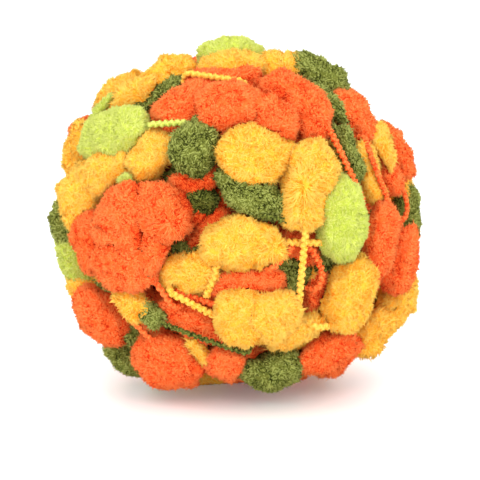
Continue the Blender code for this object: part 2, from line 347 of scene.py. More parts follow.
# Each cord's dye, then two or three points that it runs through: across, up and lift
CORDS = [
    ("yellow", (35, -7, 9), (31, -51, 9)),
    ("yellow", (25, -15, 4), (42, -15, 4)),
    ("yellow", (-33, -41, 6), (-8, -54, 6)),
    ("yellow", (-25, 71, 7.5), (2, 67, 5)),
    ("lime", (-44, 45, 9), (-27, 46, 8)),
    ("orange", (47, 42, 10), (55, 26, 11), (64, 6, 9)),
    ("orange", (65, 38, 6), (71, 21, 8), (81, -5, 10)),
    ("orange", (81, 19, 5), (86, 6, 7), (85, -3, 6)),
    ("orange", (38, -19, 3), (43, -30, 3), (41, -38, 3)),
    ("orange", (27, -19, 4), (18, -28, 4)),
    ("olive", (-38, -56, 7), (-17, -64, 8), (4, -71, 7)),
    ("olive", (16, -2, 9), (29, -5, 8)),
    ("olive", (-33, -27, -1), (-19, -17, -1)),
    ("orange", (-41, -36, 5), (-33, -47, 5)),
    ("orange", (-55, -53, 6), (-44, -64, 6)),
    ("orange", (-29, -41, 2), (-10, -47, 2)),
    ("yellow", (-10, -26, 3), (-15, -41, 3)),
    ("orange", (-39, -17, 3), (-42, -29, 3)),
    ("yellow", (41, -58, 9), (53, -57, 9)),
    ("olive", (35, 71, 4), (49, 57, 4)),
]

# The same for the sides and the back: turn from the front and tilt up in degrees, and lift
BACK_CORDS = [
    ("yellow", (151, 36, 0), (165, 43, 3), (180, 46, 0)),
    ("orange", (-160, 23, 0), (-153, 15, 4), (-142, 6, 0)),
    ("orange", (143, 9, 0), (147, 1, 4), (149, -13, 0)),
    ("yellow", (-162, 21, 2), (-164, 9, 5), (-163, -3, 2)),
    ("orange", (106, 29, 0), (106, 12, 3), (106, -5, 0)),
    ("yellow", (92, 36, -5), (102, 32, 1), (112, 23, -7)),
    ("olive", (84, -6, -1), (96, -18, 1), (109, -24, -1)),
    ("yellow", (-95, 47, -8), (-85, 40, 0), (-72, 32, -2)),
    ("orange", (-93, 58, 0), (-90, 42, 3), (-84, 24, 0)),
    ("olive", (-96, -3, 0), (-86, -9, 2), (-73, -10, 0)),
    ("yellow", (-103, 25, -5), (-96, 16, 1), (-88, 3, -8)),
]

# Where the pile fans out from a point: across, up and lift, how far it reaches and how strongly
WHORLS = [
    (34, 14, 18, 14, 1.0),
    (22, -18, 10, 11, 0.7),
    (43, -57, 8, 9, 1.0),
    (-31, -6, 14, 12, 0.6),
]

# Where the dye is darker, and painted shade where a gap or hollow lies in shade, or below 0
# painted light where a side falls darker: across, up and lift, how far it reaches and how much
DYE_AND_PAINTED_SHADE = [
    (-34, -1, 14, 18, 0.14),
    (-78, -15, 8, 16, 0.2),
    (-47, 18, 6, 9, 0.25),
    (-58, 24, 2, 5, 0.6),
    (-19, 8, 0, 15, 0.4),
    (25, 3, 0, 6, 0.6),
    (81, 7, 0, 9, 0.4),
    (-30, 57, 14, 15, 0.06),
    (-6, 56, 16, 15, 0.04),
    (28, 61, 14, 20, 0.17),
    (-24, 31, 15, 20, 0.1),
    (-54, 1, 18, 16, -0.1),
    (-74, 16, 12, 28, -0.2),
    (-62, 41, 17, 22, -0.2),
]

# Each dye's pile: the height and the spacing of its nubs, how its tufts curl, how deep its
# creases are, how much of it has pits between its nubs, how lumpy and how billowy it is, how
# coarse it is, how unlike in paleness its tufts are and how ragged their lengths are
Pile = namedtuple("Pile", "nub spacing curl creased pitted lumpy billowy coarse motley ragged")
PILES = {
    "orange": Pile(0.9, 2.2, 1.7, 1.0, 0.5, 1.1, 1.0, 1.0, 0.2, 0.8),
    "yellow": Pile(0.8, 2.2, 1.9, 0.7, 0.4, 1.0, 1.1, 1.0, 0.2, 1.2),
    "olive": Pile(1.2, 1.9, 2.0, 0.6, 1.0, 0.9, 1.0, 1.1, 0.33, 0.8),
    "lime": Pile(0.5, 1.8, 1.3, 0.2, 0.3, 0.4, 0.5, 1.0, 0.16, 0.4),
}

# Each dye's colour deep in the pile, darkened there as painted shade, part of the way out, and at
# its tips
COLOURS = {
    "orange": ((0.6, 0.02, 0.002), (0.94, 0.137, 0.025), (0.97, 0.232, 0.062)),
    "yellow": ((0.85, 0.22, 0.008), (0.94, 0.44, 0.036), (0.96, 0.57, 0.10)),
    "olive": ((0.018, 0.022, 0.002), (0.142, 0.16, 0.026), (0.325, 0.357, 0.087)),
    "lime": ((0.32, 0.41, 0.028), (0.50, 0.565, 0.076), (0.62, 0.675, 0.155)),
}

# How far painted shade darkens the fine pits of the pile
PIT_PAINTED_SHADE = {"orange": -0.55, "yellow": -0.35, "olive": -0.7, "lime": -0.25}

MIDDLE = Vector((0.0, 0.0, MIDDLE_HEIGHT))
ACROSS = Vector((1.0, 0.0, 0.0))
UP = Vector((0.0, math.sin(SEEN_FROM_HEIGHT), math.cos(SEEN_FROM_HEIGHT)))
TO_VIEWER = Vector((0.0, -math.cos(SEEN_FROM_HEIGHT), math.sin(SEEN_FROM_HEIGHT)))


def shell(out, lift):
    """How far the raised shell is from the ball's middle in a direction: full low, flat on top."""
    sag = SAG * max(-2 * out.z * math.sqrt(1 - out.z**2), 0.0)
    return SHELL_RADIUS + lift + sag - SETTLED * max(out.z, 0.0) ** 4


def seat(across, up, lift, behind=False):
    """The point, from the ball's middle, that shows there on the shell raised by lift."""
    eye = TO_VIEWER * SEEN_FROM_DISTANCE
    line = ACROSS * across + UP * up - eye
    reach = eye.dot(line)
    place = (eye + line).normalized()
    for _ in range(6):
        radius = shell(place.normalized(), lift)
        room = reach**2 - line.length_squared * (eye.length_squared - radius**2)
        step = math.sqrt(max(room, 0.0))
        share = (-reach + (step if behind else -step)) / line.length_squared
        place = eye + line * share
    return place


def around(turn, tilt, lift):
    """The point, from the ball's middle, in that direction on the shell raised by lift."""
    turn, tilt = math.radians(turn), math.radians(tilt)
    level = math.cos(tilt)
    out = Vector((level * math.sin(turn), -level * math.cos(turn), math.sin(tilt)))
    return out * shell(out, lift)


class Pompom:
    """One pompom: its dye, its middle, its three directions and its three half sizes."""

    def __init__(self, dye, middle, along, long, wide):
        self.dye = dye
        self.melts_into = None
        self.middle = middle
        out = middle.normalized()
        along = (along - out * along.dot(out)).normalized()
        self.turn = Matrix((along, out.cross(along), out)).transposed()
        self.half = Vector((long, wide, wide * PRESSED)) / 2


def placed_pompoms(rows, behind=False):
    """The pompoms of one table."""
    placed = []
    before = None
    for dye, across, up, lift, long, wide, lean in rows:
        middle = seat(across, up, lift, behind)
        lean = math.radians(lean)
        along = ACROSS * math.cos(lean) + UP * math.sin(lean)
        dye, _, turns = dye.partition(" to ")
        pompom = Pompom(dye, middle, along, long, wide)
        if before:
            before.melts_into, pompom.melts_into = pompom, before
        before = pompom if turns else None
        placed.append(pompom)
    return placed


def dye_beside(middle, others, number):
    """The next dye of the winding that isn't already crowded round this place."""
    beside = [other.dye for other in others if (middle - other.middle).length < BESIDE]
    turned = WOUND_DYES[number:] + WOUND_DYES[:number]
    dyes = [DYE_OF_LETTER[letter] for letter in turned]
    return next((dye for dye in dyes if beside.count(dye) < MOST_BESIDE[dye]), dyes[0])


def clear_of(pompom, other):
    """Whether the middle of one pompom is clear of the room that the other takes up."""
    apart = other.turn.transposed() @ (pompom.middle - other.middle)
    share = Vector(part / half for part, half in zip(apart, other.half))
    return share.length > 2 * WOUND_CLEARANCE


def wound_pompoms(placed):
    """The pompoms of the back, along a spiral, wherever the ones before leave room."""
    chance = random.Random(WOUND_SEED)
    wound = []
    polar = WOUND_START * WOUND_PITCH / SHELL_RADIUS
    round_the_pole = 0.0
    while polar < WOUND_UNTIL_BELOW:
        side = ACROSS * math.cos(round_the_pole) + UP * math.sin(round_the_pole)
        out = side * math.sin(polar) - TO_VIEWER * math.cos(polar)
        forward = UP * math.cos(round_the_pole) - ACROSS * math.sin(round_the_pole)
        slant = chance.gauss(0, WOUND_SLANT)
        along = forward * math.cos(slant) + out.cross(forward) * math.sin(slant)
        long = WOUND_LONG + chance.uniform(*WOUND_LONG_VARIES)
        wide = WOUND_WIDE + chance.uniform(*WOUND_WIDE_VARIES)
        sunk = RIM_SUNK if polar > RIM else 0.0
        middle = out * shell(out, chance.uniform(*WOUND_LIFT_VARIES) - sunk)
        others = placed + wound
        dye = dye_beside(middle, others, len(wound) % len(WOUND_DYES))
        tried = Pompom(dye, middle, along, long, wide)
        free = all(clear_of(tried, other) and clear_of(other, tried) for other in others)
        travel = WOUND_STEP
        if free and (polar < WOUND_UNTIL or out.z < BELOW):
            wound.append(tried)
            travel = WOUND_PITCH
        turn = travel / (SHELL_RADIUS * math.sin(polar))
        round_the_pole += turn
        polar += WOUND_TURN_GAP / SHELL_RADIUS * turn / (2 * math.pi)
    for pompom in wound:
        pompom.half.x *= WOUND_SWELL
        pompom.half.y *= WOUND_SWELL
    return wound


def under_pompoms():
    """The layer that shows in the gaps, spread evenly, with one pompom under the middle."""
    foot = Pompom("orange", Vector((0, 0, -SHELL_RADIUS)), ACROSS, WOUND_LONG, WOUND_WIDE)
    layer = [foot]
    for number in range(UNDER_COUNT):
        height = 1 - 2 * (number + 0.5) / UNDER_COUNT
        turn = number * math.pi * (3 - math.sqrt(5))
        level = math.sqrt(1 - height**2)
        out = Vector((level * math.cos(turn), level * math.sin(turn), height))
        along = Vector((-math.sin(turn), math.cos(turn), height / 2))
        dye = DYE_OF_LETTER[UNDER_DYES[number % len(UNDER_DYES)]]
        middle = out * shell(out, UNDER_LIFT)
        layer.append(Pompom(dye, middle, along, UNDER_LONG, UNDER_WIDE))
    return layer


def shape_of(pompom, number, direction):
    """Where a pompom's surface lies in a direction of a unit sphere, from the ball's middle."""
    blunt = sum(abs(part) ** BLUNTNESS for part in direction) ** (-1 / BLUNTNESS)
    point = Vector(part * half * blunt for part, half in zip(direction, pompom.half))
    beside = Vector((number * 37.0, number * 11.0, 0.0))
    swell = 1 + LUMPINESS * noise.noise(point * (2 / LUMP_SPACING) + beside) * 2
    return pompom.middle + pompom.turn @ (point * swell)


class Skin:
    """An outside that pile stands on: its points, their outward directions and its faces."""

    def __init__(self, bm):
        bm.normal_update()
        self.points = np.array([vert.co for vert in bm.verts])
        self.outward = np.array([vert.normal for vert in bm.verts])
        self.faces = np.array([[vert.index for vert in face.verts] for face in bm.faces])
        bm.free()


def near(pompom, pompoms):
    """The other pompoms that touch one."""
    reach = max(pompom.half)
    others = [other for other in pompoms if other is not pompom]
    return [one for one in others if (one.middle - pompom.middle).length < reach + max(one.half)]


def share_inside(pompom, points):
    """How far out in a pompom each point is: 0 at its middle and 1 at its surface."""
    inside = (points - np.array(pompom.middle)) @ np.array(pompom.turn)
    parts = np.abs(inside / np.array(pompom.half)) ** BLUNTNESS
    return parts.sum(axis=1) ** (1 / BLUNTNESS)


def parting(point, number):
    """How deep in a narrow crease of the pile a point is: 0 beside it and 1 in its middle."""
    place = point + Vector((number * 23.0, 0.0, number * 7.0))
    return max(1 - abs(noise.noise(place / CREASE_SPACING)) / CREASE_WIDTH, 0.0)


def relief(point, number, pile):
    """How far the pile stands out at a point: soft billows, parted by narrow creases."""
    place = point + Vector((number * 17.0, number * 5.0, 0.0))
    billow = noise.noise(place / BILLOW_SPACING) * BILLOW * pile.billowy
    lobe = noise.noise(place / LOBE_SPACING) * LOBE * pile.lumpy
    return billow + lobe - CREASE * pile.creased * parting(point, number)


def pompom_skin(pompom, number, pompoms):
    """The outside of one pompom's pile. It flows into its neighbours of the same dye."""
    bm = bmesh.new()
    bmesh.ops.create_icosphere(bm, subdivisions=3, radius=1)
    for vert in bm.verts:
        vert.co = shape_of(pompom, number, vert.co)
    bm.normal_update()
    points = np.array([vert.co for vert in bm.verts])
    filled = np.zeros(len(points))
    for other in near(pompom, pompoms):
        if abs(other.middle.length - pompom.middle.length) < SAME_LEVEL:
            same = other.dye == pompom.dye or other is pompom.melts_into
            gap = (share_inside(other, points) - 1) * min(other.half)
            filled += FILL * (1 if same else OTHER_DYE_FILL) * np.log1p(np.exp(-gap / FILL))
    for vert, rise in zip(bm.verts, np.minimum(filled, MOST_FILL)):
        vert.co += vert.normal * (relief(vert.co, number, PILES[pompom.dye]) + rise)
    return Skin(bm)


def buried(points, others, share):
    """Which points lie in the core or inside that share of another pompom."""
    sunk = np.linalg.norm(points, axis=1) < CORE_RADIUS
    for other in others:
        sunk |= share_inside(other, points) < share
    return sunk


def scattered(skin, spacing, chance):
    """Even but jittered places over a skin: points and outward directions."""
    corners = skin.points[skin.faces]
    sides = np.cross(corners[:, 1] - corners[:, 0], corners[:, 2] - corners[:, 0])
    reached = np.cumsum(np.linalg.norm(sides, axis=1) / 2)
    count = int(reached[-1] / spacing**2)
    at = (np.arange(count) + chance.random(count)) * reached[-1] / count
    face = np.minimum(np.searchsorted(reached, at), len(reached) - 1)
    first, second = np.sort(chance.random((2, count)), axis=0)
    share = np.stack((first, second - first, 1 - second), axis=1)[:, :, None]
    points = (corners[face] * share).sum(axis=1)
    outward = (skin.outward[skin.faces[face]] * share).sum(axis=1)
    return points, outward / np.linalg.norm(outward, axis=1)[:, None]


def in_the_open(points, outward, tree):
    """Which points can be seen from somewhere outside the ball."""
    seen = np.zeros(len(points), bool)
    turns = [turn * 2 * math.pi / LOOKS_ROUND for turn in range(LOOKS_ROUND)]
    for number, (point, out) in enumerate(zip(points, outward)):
        point, out = Vector(point), Vector(out)
        side = out.orthogonal().normalized()
        other = out.cross(side)
        away = [out, point.normalized()]
        for turn in turns:
            level = side * math.cos(turn) + other * math.sin(turn)
            away.append(out * math.cos(LOOK_TILT) + level * math.sin(LOOK_TILT))
        start = point + out * LOOK_FROM
        seen[number] = any(tree.ray_cast(start, way, LOOK_REACH)[0] is None for way in away)
    return seen


def core_ball():
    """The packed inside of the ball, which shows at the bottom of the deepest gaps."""
    bm = bmesh.new()
    bmesh.ops.create_icosphere(bm, subdivisions=4, radius=1)
    for vert in bm.verts:
        ripple = noise.noise(vert.co * CORE_RIPPLES) * CORE_RIPPLE
        vert.co *= CORE_RADIUS + CORE_RAISED + ripple
    return Skin(bm)


def tuft_shape():
    """One tuft's corners, root at 0 and tip at 1, and its faces."""
    bm = bmesh.new()
    bmesh.ops.create_cone(bm, segments=3, radius1=1.0, radius2=0.0, depth=1.0)
    bmesh.ops.translate(bm, vec=Vector((0, 0, 0.5)), verts=bm.verts)
    corners = np.array([vert.co for vert in bm.verts])
    faces = np.array([[vert.index for vert in face.verts] for face in bm.faces])
    bm.free()
    return corners, faces


def mesh_piece(name, points, faces, pale, outward, material):
    """A finished piece from its corners in millimetres, how pale each is and where it faces."""
    mesh = bpy.data.meshes.new(name)
    mesh.vertices.add(len(points))
    mesh.vertices.foreach_set("co", ((points + np.array(MIDDLE)) * MM).ravel())
    mesh.loops.add(faces.size)
    mesh.loops.foreach_set("vertex_index", faces.ravel())
    mesh.polygons.add(len(faces))
    mesh.polygons.foreach_set("loop_start", np.arange(0, faces.size, 3))
    mesh.update(calc_edges=True)
    mesh.shade_smooth()
    mesh.normals_split_custom_set_from_vertices(outward)
    mesh.attributes.new("pale", "FLOAT", "POINT").data.foreach_set("value", pale)
    mesh.uv_layers.new(name="OFBake").data.foreach_set("uv", cells(len(faces)).ravel())
    mesh.materials.append(material)
    piece = bpy.data.objects.new(name, mesh)
    bpy.context.scene.collection.objects.link(piece)
    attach(piece, "root")
    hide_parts("yarn_ball")
    return piece


def cells(count):
    """A place of its own on the texture for every triangle, two to a square."""
    side = math.ceil(math.sqrt(count / 2))
    number = np.arange(count)
    square = np.stack((number // 2 % side, number // 2 // side), axis=1)[:, None, :]
    lower = np.array([(0.06, 0.06), (0.84, 0.06), (0.06, 0.84)])
    places = np.where((number % 2 == 0)[:, None, None], lower, 1 - lower)
    return (square + places) / side


def tufts_at(roots, outward, lengths, width, lean, pale):
    """A tuft on each root: corners, faces, how pale each corner is and where it faces."""
    shape, faces = tuft_shape()
    count = len(roots)
    level = np.cross(outward, np.roll(lean, 1, axis=1) + outward[:, [1, 2, 0]])
    level /= np.linalg.norm(level, axis=1)[:, None]
    beside = np.cross(outward, level)
    x, y, up = (shape[None, :, axis, None] for axis in range(3))
    tall = lengths[:, None, None]
    round_it = level[:, None, :] * x + beside[:, None, :] * y
    corners = roots[:, None, :] + (outward[:, None, :] + lean[:, None, :]) * up * tall
    corners = (corners + round_it * width[:, None, None]).reshape(-1, 3)
    corners[:, 2] = np.maximum(corners[:, 2], -MIDDLE_HEIGHT + TUFT_CLEAR)
    faces = (faces[None] + (np.arange(count) * len(shape))[:, None, None]).reshape(-1, 3)
    facing = outward[:, None, :] + round_it * SIDE_FACING + lean[:, None, :] * up * LEAN_FACING
    facing = facing.reshape(-1, 3)
    facing /= np.linalg.norm(facing, axis=1)[:, None]
    # The tips are paler, as painted light
    return corners, faces, (pale[:, None] + TIP_PALE * shape[None, :, 2]).ravel(), facing


def pits_at(places):
    """How deep each place is in a pit between nubs of clumped pile."""
    nearest = [noise.voronoi(Vector(place))[0] for place in places]
    border = np.array([distances[1] - distances[0] for distances in nearest])
    return np.maximum(1 - border / PIT_WIDTH, 0)


def seams(pompom, points, others):
    """How near each point is to a seam between a pompom and a neighbour of its own dye."""
    own = share_inside(pompom, points)
    seam = np.zeros(len(points))
    for other in others:
        level = abs(other.middle.length - pompom.middle.length) < SAME_LEVEL
        if other.dye == pompom.dye and level:
            apart = np.abs(share_inside(other, points) - own) * min(other.half)
            seam = np.maximum(seam, 1 - apart / SEAM_WIDTH)
    return seam


def bumps(points, spacing):
    """A number at each point that rises and falls smoothly over about that distance."""
    return np.array([noise.noise(Vector(point) / spacing) for point in points])


def drift(points, spacing, number=0):
    """A direction at each point that turns smoothly over about that distance."""
    beside = Vector((number, 0, 0))
    ways = [noise.noise_vector(Vector(point) / spacing + beside) for point in points]
    return np.array(ways).reshape(-1, 3)


def whorls_at(points):
    """How the pile fans out at each point, how strongly, and how near the eye of a whorl is."""
    swirl = drift(points, SWIRL_SPACING) * WHORL_SWIRL
    fan, whorled, eye = np.zeros_like(points), np.zeros(len(points)), np.zeros(len(points))
    for across, up, lift, reach, strength in WHORLS:
        away = points - np.array(seat(across, up, lift))
        apart = np.linalg.norm(away, axis=1)
        whorl = strength * np.clip(1 - apart / reach, 0, 1)
        away += swirl
        fan += away / np.linalg.norm(away, axis=1)[:, None] * (WHORLED * whorl)[:, None]
        whorled += whorl
        eye += strength * np.clip(1 - apart / EYE_WIDTH, 0, 1)
    return fan, whorled, eye


def dye_and_painted_shade_at(points):
    """How much darker the pile is at each point, from darker dye and painted shade, or paler from
    painted light.
    """
    darkened = np.zeros(len(points))
    for across, up, lift, reach, shade in DYE_AND_PAINTED_SHADE:
        apart = np.linalg.norm(points - np.array(seat(across, up, lift)), axis=1)
        darkened += shade * np.clip(2 - 2 * apart / reach, 0, 1)
    return darkened


def dyes_at(pompom, points, patch, chance):
    """Which points each dye of a pompom takes, with a ragged edge where it melts into another."""
    melted = np.zeros(len(points), bool)
    if pompom.melts_into:
        nearer = share_inside(pompom.melts_into, points) - share_inside(pompom, points)
        melted = nearer < MELT_WAVE * patch + chance.normal(0, MELT, len(points))
    dyes = {pompom.dye: ~melted}
    if melted.any():
        dyes[pompom.melts_into.dye] = melted
    return dyes


def pile_of(pompom, number, skin, others, tree, spacing, chance):
    """The tufts of one pompom, as a mesh for each dye that shows in it."""
    pile = PILES[pompom.dye]
    spacing *= pile.coarse
    points, outward = scattered(skin, spacing, chance)
    free = ~buried(points, others, PILE_HIDDEN)
    points, outward = points[free], outward[free]
    seen = in_the_open(points, outward, tree)
    points, outward = points[seen], outward[seen]
    count = len(points)
    patch = bumps(points, PATCH_SPACING)
    pit = pits_at(points / pile.spacing) * np.clip(pile.pitted + PATCH_SWING * patch, 0, 1)
    deep = np.array([parting(Vector(point), number) for point in points]) * pile.creased
    seam = seams(pompom, points, others) * np.clip(SEAM_KEPT + patch, 0, 1) * pile.creased
    fan, whorled, eye = whorls_at(points)
    roots = points - outward * (PILE + ROOT)
    lengths = PILE + ROOT + chance.uniform(SHORTER, LONGER, count)
    lengths -= pile.nub * pit + SEAM_DEPTH * seam
    lengths *= 1 - CREASE_SHORTER * deep
    lengths += pile.ragged * bumps(points, CLUMP_SPACING) + whorled - EYE_DEPTH * eye
    width = chance.uniform(THINNER, WIDER, count) * spacing * TUFT_WIDTH
    flow = drift(points, FLOW_SPACING, number) + chance.normal(0, STRAY, (count, 3))
    lean = flow * pile.curl + (points - np.array(pompom.middle)) / max(pompom.half) * FANNED
    lean += fan
    lean -= outward * (lean * outward).sum(axis=1)[:, None]
    pale = PALE + chance.uniform(-1, 1, count) * (pile.motley + WHORL_MOTLEY * whorled)
    # Painted shade: the pile is darker in pits, creases, seams and whorls' eyes
    pale -= PIT_SHADE * pit + CREASE_SHADE * deep + SEAM_SHADE * seam + EYE_SHADE * eye
    pale += chance.uniform(-UNEVEN_DYE, UNEVEN_DYE)
    # Painted shade in sunk pompoms, and at listed spots darker dye or painted shade, or painted
    # light where paler
    pale -= dye_and_painted_shade_at(points) + SUNK_SHADE * max(1 - pompom.middle.length / SHELL_RADIUS, 0)
    return {
        dye: tufts_at(roots[m], outward[m], lengths[m], width[m], lean[m], pale[m])
        for dye, m in dyes_at(pompom, points, patch, chance).items()
    }


def core_pile(skin, tree, chance):
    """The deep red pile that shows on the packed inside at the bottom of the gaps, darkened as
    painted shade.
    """
    points, outward = scattered(skin, CORE_TUFT_SPACING, chance)
    seen = in_the_open(points, outward, tree)
    points, outward = points[seen], outward[seen]
    count = len(points)
    lengths = chance.uniform(CORE_SHORTEST, CORE_LONGEST, count)
    width = np.full(count, CORE_TUFT_SPACING * TUFT_WIDTH)
    lean = chance.normal(0, CORE_STRAY, (count, 3))
    # Painted shade: the inside's pile is darker than the pompoms'
    pale = CORE_PALE + chance.uniform(-CORE_MOTLEY, CORE_MOTLEY, count)
    return tufts_at(points - outward * CORE_ROOT, outward, lengths, width, lean, pale)


def roots_under(skin, others):
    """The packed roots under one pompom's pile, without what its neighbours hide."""
    points = skin.points - skin.outward * PILE
    hidden = buried(points, others, ROOTS_HIDDEN)
    faces = skin.faces[~hidden[skin.faces].all(axis=1)]
    points[:, 2] = np.maximum(points[:, 2], -MIDDLE_HEIGHT + ROOTS_CLEAR)
    return points, faces


def seen_faces(points, faces, tree):
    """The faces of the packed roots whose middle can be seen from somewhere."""
    corners = points[faces]
    outward = np.cross(corners[:, 1] - corners[:, 0], corners[:, 2] - corners[:, 0])
    outward /= np.linalg.norm(outward, axis=1)[:, None] + 1e-9
    return faces[in_the_open(corners.mean(axis=1), outward, tree)]


def texture(material, kind, scale, place):
    """A texture of that scale, laid on by those coordinates."""
    made = material.node_tree.nodes.new(kind)
    made.inputs["Scale"].default_value = scale
    material.node_tree.links.new(place, made.inputs["Vector"])
    return made


def pile_material(dye):
    """Plush pile: painted shade at the roots and in fine pits, paler tips as painted light, and a
    soft sheen.
    """
    material = bpy.data.materials.new(f"{dye}_plush")
    material.use_nodes = True
    nodes, links = material.node_tree.nodes, material.node_tree.links
    shader = nodes["Principled BSDF"]
    pale = nodes.new("ShaderNodeAttribute")
    pale.attribute_name = "pale"
    place = nodes.new("ShaderNodeTexCoord").outputs["Object"]
    grain = texture(material, "ShaderNodeTexNoise", GRAIN_SCALE, place)
    bend = texture(material, "ShaderNodeTexNoise", BEND_SCALE, place)
    bent = nodes.new("ShaderNodeVectorMath")
    bent.operation = "MULTIPLY_ADD"
    bent.inputs[1].default_value = (BEND, BEND, BEND)
    links.new(bend.outputs["Color"], bent.inputs[0])
    links.new(place, bent.inputs[2])
    # Painted shade in the fine pits between the pile's nubs, along the edges of small cells, in
    # patches
    pits = texture(material, "ShaderNodeTexVoronoi", PIT_SCALE, bent.outputs["Vector"])
    pits.feature = "DISTANCE_TO_EDGE"
    line = nodes.new("ShaderNodeMapRange")
    line.inputs["From Max"].default_value = PIT_LINE
    line.inputs["To Min"].default_value = PIT_PAINTED_SHADE[dye]
    line.inputs["To Max"].default_value = 0
    links.new(pits.outputs["Distance"], line.inputs["Value"])
    patch = texture(material, "ShaderNodeTexNoise", PIT_PATCH_SCALE, place)
    part = nodes.new("ShaderNodeMapRange")
    part.inputs["From Min"].default_value, part.inputs["From Max"].default_value = PIT_PATCH
    links.new(patch.outputs["Fac"], part.inputs["Value"])
    sunk = nodes.new("ShaderNodeMath")
    sunk.operation = "MULTIPLY_ADD"
    links.new(line.outputs["Result"], sunk.inputs[0])
    links.new(part.outputs["Result"], sunk.inputs[1])
    links.new(pale.outputs["Fac"], sunk.inputs[2])
    spread = nodes.new("ShaderNodeMath")
    spread.operation = "MULTIPLY_ADD"
    spread.inputs[1].default_value = GRAIN
    links.new(grain.outputs["Fac"], spread.inputs[0])
    links.new(sunk.outputs["Value"], spread.inputs[2])
    ramp = nodes.new("ShaderNodeValToRGB")
    ramp.color_ramp.elements.new(DYES_AT[-1])
    for element, position, colour in zip(ramp.color_ramp.elements, DYES_AT, COLOURS[dye]):
        element.position = position
        element.color = (*colour, 1)
    links.new(spread.outputs["Value"], ramp.inputs["Fac"])
    links.new(ramp.outputs["Color"], shader.inputs["Base Color"])
    shader.inputs["Roughness"].default_value = 0.9
    shader.inputs["Specular IOR Level"].default_value = 0.08
    shader.inputs["Sheen Weight"].default_value = 0.25
    shader.inputs["Sheen Roughness"].default_value = 0.5
    shader.inputs["Sheen Tint"].default_value = (*COLOURS[dye][2], 1)
    return material


def painted_shade_inside_material():
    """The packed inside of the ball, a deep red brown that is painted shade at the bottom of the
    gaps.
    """
    material = bpy.data.materials.new("packed_yarn_in_painted_shade")
    material.use_nodes = True
    nodes, links = material.node_tree.nodes, material.node_tree.links
    shader = nodes["Principled BSDF"]
    place = nodes.new("ShaderNodeTexCoord").outputs["Object"]
    grain = texture(material, "ShaderNodeTexNoise", PACKED_GRAIN_SCALE, place)
    ramp = nodes.new("ShaderNodeValToRGB")
    ramp.color_ramp.elements[0].color = (0.10, 0.012, 0.004, 1)
    ramp.color_ramp.elements[1].color = (0.45, 0.06, 0.012, 1)
    links.new(grain.outputs["Fac"], ramp.inputs["Fac"])
    links.new(ramp.outputs["Color"], shader.inputs["Base Color"])
    shader.inputs["Roughness"].default_value = 0.95
    return material


def cord_line(seats):
    """Even steps along one length of cord through two or three points, with its ends buried."""
    share = np.linspace(0, 1, CORD_STEPS)[:, None]
    if len(seats) == 2:
        line = seats[0] * (1 - share) + seats[1] * share
    else:
        line = seats[0] * (1 - share) * (1 - 2 * share) + seats[1] * 4 * share * (1 - share)
        line += seats[2] * share * (2 * share - 1)
    tails = []
    for end, before in ((line[0], line[1]), (line[-1], line[-2])):
        onward = (end - before) / np.linalg.norm(end - before) * CORD_BURIED
        inward = -end / np.linalg.norm(end) * CORD_TUCK
        tails.append([end + onward * far + inward * far**2 for far in (0.5, 1)])
    line = np.concatenate((tails[0][::-1], line, tails[1]))
    reached = np.concatenate(([0], np.cumsum(np.linalg.norm(np.diff(line, axis=0), axis=1))))
    at = np.arange(0, reached[-1], CRIMP_PITCH / CRIMP_STEPS)
    return np.stack([np.interp(at, reached, line[:, axis]) for axis in range(3)], axis=1)


def cord_skin(points, thick):
    """One length of crimped cord, which zigzags from side to side, and how bent it is where."""
    line = cord_line(points)
    along = np.gradient(line, axis=0)
    side = np.cross(along, line)
    side /= np.linalg.norm(side, axis=1)[:, None]
    turn = np.arange(len(line)) * 2 * math.pi / CRIMP_STEPS
    wave = np.sin(turn) + CRIMP_SHARP * np.sin(3 * turn)
    path = line + side * wave[:, None] * CRIMP * thick
    curve = bpy.data.curves.new("cord", "CURVE")
    curve.dimensions = "3D"
    curve.bevel_depth = STRAND_RADIUS * thick
    curve.bevel_resolution = 2
    curve.use_fill_caps = True
    spline = curve.splines.new("POLY")
    spline.points.add(len(path) - 1)
    for point, place, swell in zip(spline.points, path, np.abs(np.sin(turn))):
        point.co = (*place, 1)
        point.radius = STRAND_THIN + STRAND_SWELL * swell
    made = bpy.data.objects.new("cord", curve)
    bpy.context.scene.collection.objects.link(made)
    graph = bpy.context.evaluated_depsgraph_get()
    mesh = bpy.data.meshes.new_from_object(made.evaluated_get(graph))
    bm = bmesh.new()
    bm.from_mesh(mesh)
    bmesh.ops.remove_doubles(bm, verts=bm.verts, dist=1e-4)
    bmesh.ops.triangulate(bm, faces=bm.faces)
    bpy.data.objects.remove(made)
    bpy.data.curves.remove(curve)
    bpy.data.meshes.remove(mesh)
    skin = Skin(bm)
    nearest = [np.argmin(((line - point) ** 2).sum(axis=1)) for point in skin.points]
    return skin, np.abs(np.sin(turn))[nearest]


def cord_of(points, dye, chance):
    """One length of cord with its short pile, as two meshes."""
    thick, shade = CORD_LOOKS[dye]
    skin, bend = cord_skin(points, thick)
    places, outward = scattered(skin, CORD_TUFT_SPACING, chance)
    nearest = [np.argmin(((skin.points - place) ** 2).sum(axis=1)) for place in places]
    count = len(places)
    lengths = CORD_PILE * chance.uniform(CORD_SHORTEST, CORD_LONGEST, count)
    lean = chance.normal(0, CORD_STRAY, (count, 3))
    width = np.full(count, CORD_TUFT_SPACING * CORD_TUFT_WIDTH)
    # Painted highlight on the outer bends of the crimps, painted shade between them
    bend_pale = shade + CORD_BEND_PALE * bend
    pale = bend_pale[nearest] + chance.uniform(-CORD_MOTLEY, CORD_MOTLEY, count)
    tufts = tufts_at(places - outward * CORD_PILE / 2, outward, lengths, width, lean, pale)
    return [(skin.points, skin.faces, bend_pale + CORD_STRAND_PALE, skin.outward), tufts]


